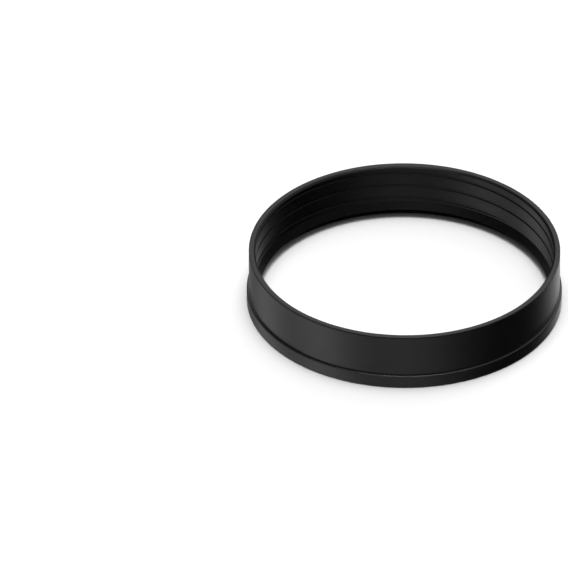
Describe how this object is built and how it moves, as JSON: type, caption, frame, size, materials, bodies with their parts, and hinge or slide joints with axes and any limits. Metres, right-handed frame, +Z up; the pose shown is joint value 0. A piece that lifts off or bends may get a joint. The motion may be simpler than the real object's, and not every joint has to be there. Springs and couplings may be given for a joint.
{
  "type": "barlow lens ring",
  "caption": "Short black ring of a barlow lens: a plain sleeve standing on a stepped foot ring, clamped by a bush with a coarse internal thread.",
  "frame": {"origin": "on the ring's axis, in the plane of the foot ring's lower face", "axes": "+Z up along the ring's axis, from the foot to the rim; the thread groove's centre line crosses +Y at 3.52, 5.95 and 8.38 mm"},
  "size_m": [0.0516, 0.0516, 0.0097],
  "materials": {
    "black_foot": "satin black anodised, turned",
    "black_sleeve": "satin black anodised, turned",
    "black_bush": "matt black anodised, thread cut"
  },
  "bodies": {
    "foot": {"foot_ring": "black_foot"},
    "sleeve": {"outer_sleeve": "black_sleeve"},
    "bush": {"threaded_bush": "black_bush"}
  },
  "joints": [
    {"name": "sleeve_lift", "type": "slide", "parent": "foot", "child": "sleeve", "axis": [0, 0, 1], "range_m": [0, 0.00075]},
    {"name": "bush_turn", "type": "hinge", "parent": "sleeve", "child": "bush", "pos_m": [0, 0, 0.0048], "axis": [0, 0, 1], "range_deg": [0, 360]}
  ],
  "couplings": [
    {"joint": "sleeve_lift", "follows": "bush_turn", "m_per_rad": 0.00011936}
  ]
}
